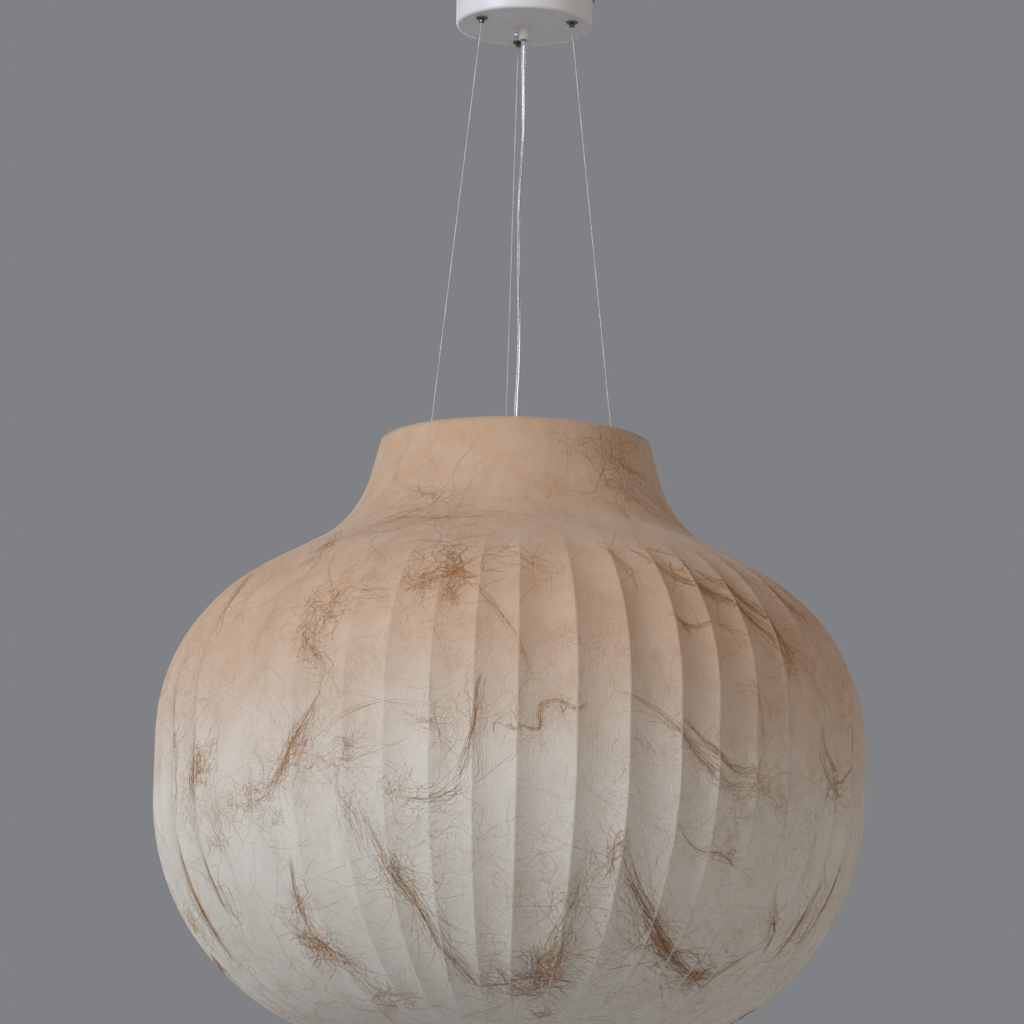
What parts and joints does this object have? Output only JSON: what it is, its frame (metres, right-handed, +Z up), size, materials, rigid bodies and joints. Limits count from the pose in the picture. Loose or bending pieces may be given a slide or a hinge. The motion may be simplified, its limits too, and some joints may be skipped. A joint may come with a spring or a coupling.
{
  "type": "paper pendant lantern",
  "caption": "Hanging paper lantern lamp: ribbed pumpkin-shaped paper shade on slim steel wires below a round ceiling canopy, with a clear flex, a lampholder and a bulb.",
  "frame": {"origin": "middle of the face that meets the ceiling, on the lamp's axis", "axes": "+Z up through the ceiling, along the lamp's axis; +Y towards the wire at the back; +X to the right seen from the front"},
  "size_m": [0.6093, 0.6094, 0.9371],
  "materials": {
    "powder_coated_steel": "satin",
    "zinc_plated_steel": "satin",
    "nickel_plate": "polished",
    "spring_steel": "satin",
    "steel_rope": "bright",
    "white_nylon": "matt",
    "clear_nylon": "gloss",
    "clear_flex": "gloss",
    "core_insulation": "gloss",
    "brass": "satin",
    "dyed_paper": "matt",
    "white_wire": "satin",
    "white_resin": "satin",
    "steatite": "matt",
    "opal_glass": "opal",
    "bulb_metal": "satin",
    "black_glass": "gloss"
  },
  "bodies": {
    "canopy": {"ceiling_bracket": "zinc_plated_steel", "canopy_cover": "powder_coated_steel", "canopy_side_screws": "zinc_plated_steel", "earth_screw": "brass", "terminal_block": "white_nylon", "terminal_sleeves": "brass", "terminal_screws": "zinc_plated_steel", "block_fixing_screw": "zinc_plated_steel", "cord_grip": "white_nylon", "cord_grip_nut": "white_nylon", "cord_grip_screw": "clear_nylon", "gripper_nuts": "nickel_plate", "gripper_caps": "nickel_plate", "suspension_wire_tails": "steel_rope", "flex_end_in_canopy": "clear_flex", "flex_cores_in_canopy": "core_insulation", "flex": "clear_flex", "gripper_body_left": "nickel_plate", "gripper_body_right": "nickel_plate", "gripper_body_back": "nickel_plate", "gripper_spring_left": "spring_steel", "gripper_spring_right": "spring_steel", "gripper_spring_back": "spring_steel"},
    "shade": {"paper_shade": "dyed_paper", "rim_ring": "white_wire", "spider_ring": "white_wire", "shoulder_ring": "white_wire", "mouth_ring": "white_wire", "ribs_front_left": "white_wire", "ribs_front_right": "white_wire", "ribs_back_right": "white_wire", "ribs_back_left": "white_wire", "spider": "white_wire", "wire_stop_left": "nickel_plate", "wire_stop_right": "nickel_plate", "wire_stop_back": "nickel_plate", "lampholder_shell": "white_resin", "lampholder_shade_ring": "white_resin", "lampholder_insulator": "steatite", "lampholder_screw_shell": "brass", "lampholder_centre_contact": "brass", "lampholder_terminals": "brass", "lampholder_terminal_screws": "zinc_plated_steel", "lampholder_cap": "white_resin", "lampholder_grommet": "white_nylon", "flex_end_in_lampholder": "clear_flex", "flex_cores_in_lampholder": "core_insulation"},
    "bulb": {"bulb_globe": "opal_glass", "bulb_screw_cap": "bulb_metal", "bulb_cap_insulator": "black_glass", "bulb_contact": "brass"},
    "wire_left": {"suspension_wire_left": "steel_rope"},
    "tip_left": {"release_tip_left": "nickel_plate", "gripper_balls_left": "nickel_plate"},
    "wire_right": {"suspension_wire_right": "steel_rope"},
    "tip_right": {"release_tip_right": "nickel_plate", "gripper_balls_right": "nickel_plate"},
    "wire_back": {"suspension_wire_back": "steel_rope"},
    "tip_back": {"release_tip_back": "nickel_plate", "gripper_balls_back": "nickel_plate"}
  },
  "joints": [
    {"name": "shade_swing", "type": "hinge", "parent": "canopy", "child": "shade", "pos_m": [0, 0, 0.34432], "axis": [0, 1, 0], "range_deg": [-4, 4], "deforming": ["flex"]},
    {"name": "wire_swing_left", "type": "hinge", "parent": "canopy", "child": "wire_left", "pos_m": [-0.03984, -0.023, -0.0416], "axis": [0, 1, 0], "range_deg": [-7.7, 7.7]},
    {"name": "wire_swing_right", "type": "hinge", "parent": "canopy", "child": "wire_right", "pos_m": [0.03984, -0.023, -0.0416], "axis": [0, 1, 0], "range_deg": [-7.7, 7.7]},
    {"name": "wire_swing_back", "type": "hinge", "parent": "canopy", "child": "wire_back", "pos_m": [0, 0.046, -0.0416], "axis": [0, 1, 0], "range_deg": [-7.7, 7.7]},
    {"name": "release_left", "type": "slide", "parent": "canopy", "child": "tip_left", "axis": [0, 0, 1], "range_m": [0, 0.002], "stiffness_N_per_m": 300, "springref_m": -0.002, "deforming": ["gripper_spring_left"]},
    {"name": "release_right", "type": "slide", "parent": "canopy", "child": "tip_right", "axis": [0, 0, 1], "range_m": [0, 0.002], "stiffness_N_per_m": 300, "springref_m": -0.002, "deforming": ["gripper_spring_right"]},
    {"name": "release_back", "type": "slide", "parent": "canopy", "child": "tip_back", "axis": [0, 0, 1], "range_m": [0, 0.002], "stiffness_N_per_m": 300, "springref_m": -0.002, "deforming": ["gripper_spring_back"]},
    {"name": "bulb_unscrew", "type": "slide", "parent": "shade", "child": "bulb", "axis": [0, 0, -1], "range_m": [0, 0.05]}
  ],
  "couplings": [
    {"joint": "wire_swing_left", "follows": "shade_swing", "ratio": 1.92},
    {"joint": "wire_swing_right", "follows": "shade_swing", "ratio": 1.92},
    {"joint": "wire_swing_back", "follows": "shade_swing", "ratio": 1.92}
  ]
}
